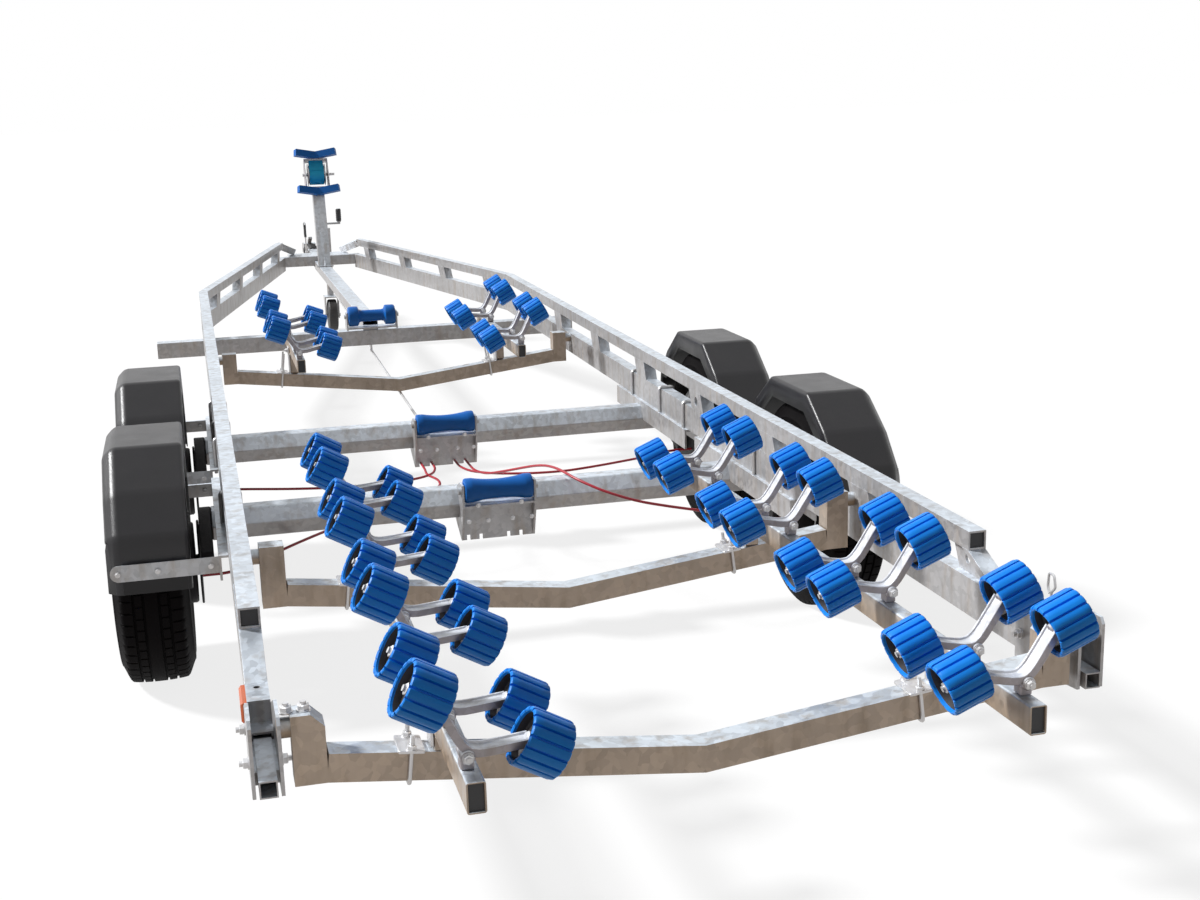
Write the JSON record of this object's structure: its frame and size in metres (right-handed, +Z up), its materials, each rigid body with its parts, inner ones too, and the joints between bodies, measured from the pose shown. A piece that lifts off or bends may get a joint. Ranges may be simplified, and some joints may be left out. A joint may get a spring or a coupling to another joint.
{
  "type": "twin-axle roller boat trailer",
  "caption": "Galvanised twin-axle boat trailer with raked-window side frames, ribbed wobble rollers, keel rollers, winch post and jockey wheel.",
  "frame": {"origin": "on the ground plane, at the middle of the overall length and width", "axes": "+Y forward towards the tow coupling, +X to the right, +Z up"},
  "size_m": [2.092, 8.8394, 1.1705],
  "materials": {
    "galvanised": "hot-dip galvanised, faint spangle",
    "tyre_rubber": "matt black rubber",
    "painted_rim": "silver painted steel",
    "blue_polyurethane": "bright blue ribbed polyurethane",
    "blue_rubber": "deep blue moulded rubber",
    "black_plastic": "black moulded plastic",
    "grey_rubber": "solid black rubber",
    "red_sheath": "dark red cable sheath",
    "black_steel": "black painted steel",
    "zinc_plate": "bright zinc plate",
    "black_rubber": "black rubber",
    "amber_lens": "amber reflector"
  },
  "bodies": {
    "chassis": {"axle_beams": "galvanised", "axle_rails": "galvanised", "bow_stops": "blue_rubber", "brake_cables": "red_sheath", "brake_rod": "galvanised", "bunk_beams": "galvanised", "coupling": "galvanised", "coupling_gaiter": "black_rubber", "cradle_beams": "galvanised", "cross_tubes": "galvanised", "frame_spacers": "galvanised", "handbrake_lever": "galvanised", "jockey_mast": "galvanised", "keel_beam": "galvanised", "keel_roller_brackets": "galvanised", "light_board_arms": "galvanised", "lower_rails": "galvanised", "mudguard_stays": "galvanised", "mudguards": "black_plastic", "roller_yokes": "galvanised", "side_markers": "amber_lens", "suspension_arms": "black_steel", "upper_rails": "galvanised", "winch_frame": "galvanised", "winch_post": "galvanised"},
    "rear_left_wheel": {"rear_left_tyre": "tyre_rubber", "rear_left_rim": "painted_rim"},
    "rear_right_wheel": {"rear_right_tyre": "tyre_rubber", "rear_right_rim": "painted_rim"},
    "front_left_wheel": {"front_left_tyre": "tyre_rubber", "front_left_rim": "painted_rim"},
    "front_right_wheel": {"front_right_tyre": "tyre_rubber", "front_right_rim": "painted_rim"},
    "left_rollers_1": {"left_rollers_1": "blue_polyurethane"},
    "left_rollers_2": {"left_rollers_2": "blue_polyurethane"},
    "left_rollers_3": {"left_rollers_3": "blue_polyurethane"},
    "left_rollers_4": {"left_rollers_4": "blue_polyurethane"},
    "left_rollers_5": {"left_rollers_5": "blue_polyurethane"},
    "left_rollers_6": {"left_rollers_6": "blue_polyurethane"},
    "left_rollers_7": {"left_rollers_7": "blue_polyurethane"},
    "left_rollers_8": {"left_rollers_8": "blue_polyurethane"},
    "right_rollers_1": {"right_rollers_1": "blue_polyurethane"},
    "right_rollers_2": {"right_rollers_2": "blue_polyurethane"},
    "right_rollers_3": {"right_rollers_3": "blue_polyurethane"},
    "right_rollers_4": {"right_rollers_4": "blue_polyurethane"},
    "right_rollers_5": {"right_rollers_5": "blue_polyurethane"},
    "right_rollers_6": {"right_rollers_6": "blue_polyurethane"},
    "right_rollers_7": {"right_rollers_7": "blue_polyurethane"},
    "right_rollers_8": {"right_rollers_8": "blue_polyurethane"},
    "front_left_rollers_1": {"front_left_rollers_1": "blue_polyurethane"},
    "front_left_rollers_2": {"front_left_rollers_2": "blue_polyurethane"},
    "front_right_rollers_1": {"front_right_rollers_1": "blue_polyurethane"},
    "front_right_rollers_2": {"front_right_rollers_2": "blue_polyurethane"},
    "rear_keel_roller": {"rear_keel_roller": "blue_polyurethane"},
    "middle_keel_roller": {"middle_keel_roller": "blue_polyurethane"},
    "front_keel_roller": {"front_keel_roller": "blue_polyurethane"},
    "winch_drum": {"winch_drum": "zinc_plate"},
    "jockey_fork": {"jockey_fork": "galvanised"},
    "jockey_wheel": {"jockey_wheel": "grey_rubber"}
  },
  "joints": [
    {"name": "rear_left_wheel_spin", "type": "hinge", "parent": "chassis", "child": "rear_left_wheel", "pos_m": [-0.951, -2.323, 0.304], "axis": [1, 0, 0], "continuous": true},
    {"name": "rear_right_wheel_spin", "type": "hinge", "parent": "chassis", "child": "rear_right_wheel", "pos_m": [0.951, -2.323, 0.304], "axis": [1, 0, 0], "continuous": true},
    {"name": "front_left_wheel_spin", "type": "hinge", "parent": "chassis", "child": "front_left_wheel", "pos_m": [-0.951, -1.4, 0.304], "axis": [1, 0, 0], "continuous": true},
    {"name": "front_right_wheel_spin", "type": "hinge", "parent": "chassis", "child": "front_right_wheel", "pos_m": [0.951, -1.4, 0.304], "axis": [1, 0, 0], "continuous": true},
    {"name": "left_rollers_1_spin", "type": "hinge", "parent": "chassis", "child": "left_rollers_1", "pos_m": [-0.42836, -4.362, 0.61902], "axis": [0.8704, 0, -0.4924], "continuous": true},
    {"name": "left_rollers_2_spin", "type": "hinge", "parent": "chassis", "child": "left_rollers_2", "pos_m": [-0.42836, -4.192, 0.61681], "axis": [0.8704, 0, -0.4924], "continuous": true},
    {"name": "left_rollers_3_spin", "type": "hinge", "parent": "chassis", "child": "left_rollers_3", "pos_m": [-0.42836, -3.852, 0.61239], "axis": [0.8704, 0, -0.4924], "continuous": true},
    {"name": "left_rollers_4_spin", "type": "hinge", "parent": "chassis", "child": "left_rollers_4", "pos_m": [-0.42836, -3.682, 0.61018], "axis": [0.8704, 0, -0.4924], "continuous": true},
    {"name": "left_rollers_5_spin", "type": "hinge", "parent": "chassis", "child": "left_rollers_5", "pos_m": [-0.42836, -3.342, 0.60576], "axis": [0.8704, 0, -0.4924], "continuous": true},
    {"name": "left_rollers_6_spin", "type": "hinge", "parent": "chassis", "child": "left_rollers_6", "pos_m": [-0.42836, -3.172, 0.60355], "axis": [0.8704, 0, -0.4924], "continuous": true},
    {"name": "left_rollers_7_spin", "type": "hinge", "parent": "chassis", "child": "left_rollers_7", "pos_m": [-0.42836, -2.832, 0.59913], "axis": [0.8704, 0, -0.4924], "continuous": true},
    {"name": "left_rollers_8_spin", "type": "hinge", "parent": "chassis", "child": "left_rollers_8", "pos_m": [-0.42836, -2.662, 0.59692], "axis": [0.8704, 0, -0.4924], "continuous": true},
    {"name": "right_rollers_1_spin", "type": "hinge", "parent": "chassis", "child": "right_rollers_1", "pos_m": [0.43363, -4.362, 0.62159], "axis": [0.9239, 0, 0.3827], "continuous": true},
    {"name": "right_rollers_2_spin", "type": "hinge", "parent": "chassis", "child": "right_rollers_2", "pos_m": [0.43363, -4.192, 0.61938], "axis": [0.9239, 0, 0.3827], "continuous": true},
    {"name": "right_rollers_3_spin", "type": "hinge", "parent": "chassis", "child": "right_rollers_3", "pos_m": [0.43363, -3.852, 0.61496], "axis": [0.9239, 0, 0.3827], "continuous": true},
    {"name": "right_rollers_4_spin", "type": "hinge", "parent": "chassis", "child": "right_rollers_4", "pos_m": [0.43363, -3.682, 0.61275], "axis": [0.9239, 0, 0.3827], "continuous": true},
    {"name": "right_rollers_5_spin", "type": "hinge", "parent": "chassis", "child": "right_rollers_5", "pos_m": [0.43363, -3.342, 0.60833], "axis": [0.9239, 0, 0.3827], "continuous": true},
    {"name": "right_rollers_6_spin", "type": "hinge", "parent": "chassis", "child": "right_rollers_6", "pos_m": [0.43363, -3.172, 0.60612], "axis": [0.9239, 0, 0.3827], "continuous": true},
    {"name": "right_rollers_7_spin", "type": "hinge", "parent": "chassis", "child": "right_rollers_7", "pos_m": [0.43363, -2.832, 0.6017], "axis": [0.9239, 0, 0.3827], "continuous": true},
    {"name": "right_rollers_8_spin", "type": "hinge", "parent": "chassis", "child": "right_rollers_8", "pos_m": [0.43363, -2.662, 0.59949], "axis": [0.9239, 0, 0.3827], "continuous": true},
    {"name": "front_left_rollers_1_spin", "type": "hinge", "parent": "chassis", "child": "front_left_rollers_1", "pos_m": [-0.40002, -0.43, 0.6205], "axis": [0.9272, 0, -0.3746], "continuous": true},
    {"name": "front_left_rollers_2_spin", "type": "hinge", "parent": "chassis", "child": "front_left_rollers_2", "pos_m": [-0.40002, 0.19, 0.6205], "axis": [0.9272, 0, -0.3746], "continuous": true},
    {"name": "front_right_rollers_1_spin", "type": "hinge", "parent": "chassis", "child": "front_right_rollers_1", "pos_m": [0.39473, -0.43, 0.61798], "axis": [0.8746, 0, 0.4848], "continuous": true},
    {"name": "front_right_rollers_2_spin", "type": "hinge", "parent": "chassis", "child": "front_right_rollers_2", "pos_m": [0.39473, 0.19, 0.61798], "axis": [0.8746, 0, 0.4848], "continuous": true},
    {"name": "rear_keel_roller_spin", "type": "hinge", "parent": "chassis", "child": "rear_keel_roller", "pos_m": [0, -2.258, 0.415], "axis": [1, 0, 0], "continuous": true},
    {"name": "middle_keel_roller_spin", "type": "hinge", "parent": "chassis", "child": "middle_keel_roller", "pos_m": [0, -1.335, 0.415], "axis": [1, 0, 0], "continuous": true},
    {"name": "front_keel_roller_spin", "type": "hinge", "parent": "chassis", "child": "front_keel_roller", "pos_m": [0, 0.735, 0.5], "axis": [1, 0, 0], "continuous": true},
    {"name": "winch_drum_turn", "type": "hinge", "parent": "chassis", "child": "winch_drum", "pos_m": [0, 3.31196, 1.0101], "axis": [1, 0, 0], "continuous": true},
    {"name": "jockey_swivel", "type": "hinge", "parent": "chassis", "child": "jockey_fork", "pos_m": [0.074, 3.73, 0.3], "axis": [0, 0, 1], "continuous": true},
    {"name": "jockey_wheel_spin", "type": "hinge", "parent": "jockey_fork", "child": "jockey_wheel", "pos_m": [0.074, 3.675, 0.1], "axis": [1, 0, 0], "continuous": true}
  ]
}
